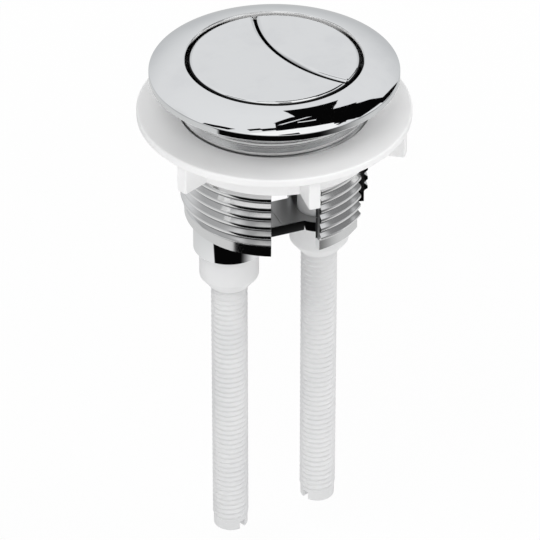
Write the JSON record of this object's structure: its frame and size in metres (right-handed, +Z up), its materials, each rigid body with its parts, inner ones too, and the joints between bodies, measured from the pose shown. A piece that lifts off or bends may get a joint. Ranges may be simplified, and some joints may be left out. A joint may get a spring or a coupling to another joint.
{
  "type": "push button cistern actuator",
  "caption": "Round dual-flush push button for a cistern lid: domed plated bezel with split caps, threaded barrel, ribbed backnut and long adjustable push rods.",
  "frame": {"origin": "on the barrel axis, in the plane where the bezel rests on the lid", "axes": "+Z up out of the lid along the barrel axis; +X from the full-flush rod to the half-flush rod"},
  "size_m": [0.0804, 0.0804, 0.1642],
  "materials": {
    "plated_body": "bright chrome plate on plastic",
    "plated_cap": "bright chrome plate on plastic",
    "white_plunger": "moulded white plastic",
    "white_rod": "moulded white plastic",
    "white_nut": "moulded white plastic",
    "spring_wire": "drawn stainless wire"
  },
  "bodies": {
    "body": {"body": "plated_body", "full_flush_spring": "spring_wire", "half_flush_spring": "spring_wire"},
    "full_flush": {"full_flush_button": "plated_cap", "full_flush_plunger": "white_plunger"},
    "half_flush": {"half_flush_button": "plated_cap", "half_flush_plunger": "white_plunger"},
    "full_flush_rod": {"full_flush_rod": "white_rod"},
    "half_flush_rod": {"half_flush_rod": "white_rod"},
    "backnut": {"backnut": "white_nut"}
  },
  "joints": [
    {"name": "full_flush_press", "type": "slide", "parent": "body", "child": "full_flush", "axis": [0, 0, -1], "range_m": [0, 0.0055], "stiffness_N_per_m": 400, "springref_m": -0.008, "deforming": ["full_flush_spring"]},
    {"name": "half_flush_press", "type": "slide", "parent": "body", "child": "half_flush", "axis": [0, 0, -1], "range_m": [0, 0.0055], "stiffness_N_per_m": 400, "springref_m": -0.008, "deforming": ["half_flush_spring"]},
    {"name": "full_flush_rod_adjust", "type": "slide", "parent": "full_flush", "child": "full_flush_rod", "axis": [0, 0, -1], "range_m": [-0.02, 0.01]},
    {"name": "half_flush_rod_adjust", "type": "slide", "parent": "half_flush", "child": "half_flush_rod", "axis": [0, 0, -1], "range_m": [-0.02, 0.01]},
    {"name": "backnut_travel", "type": "slide", "parent": "body", "child": "backnut", "axis": [0, 0, 1], "range_m": [-0.018, 0.006]}
  ]
}
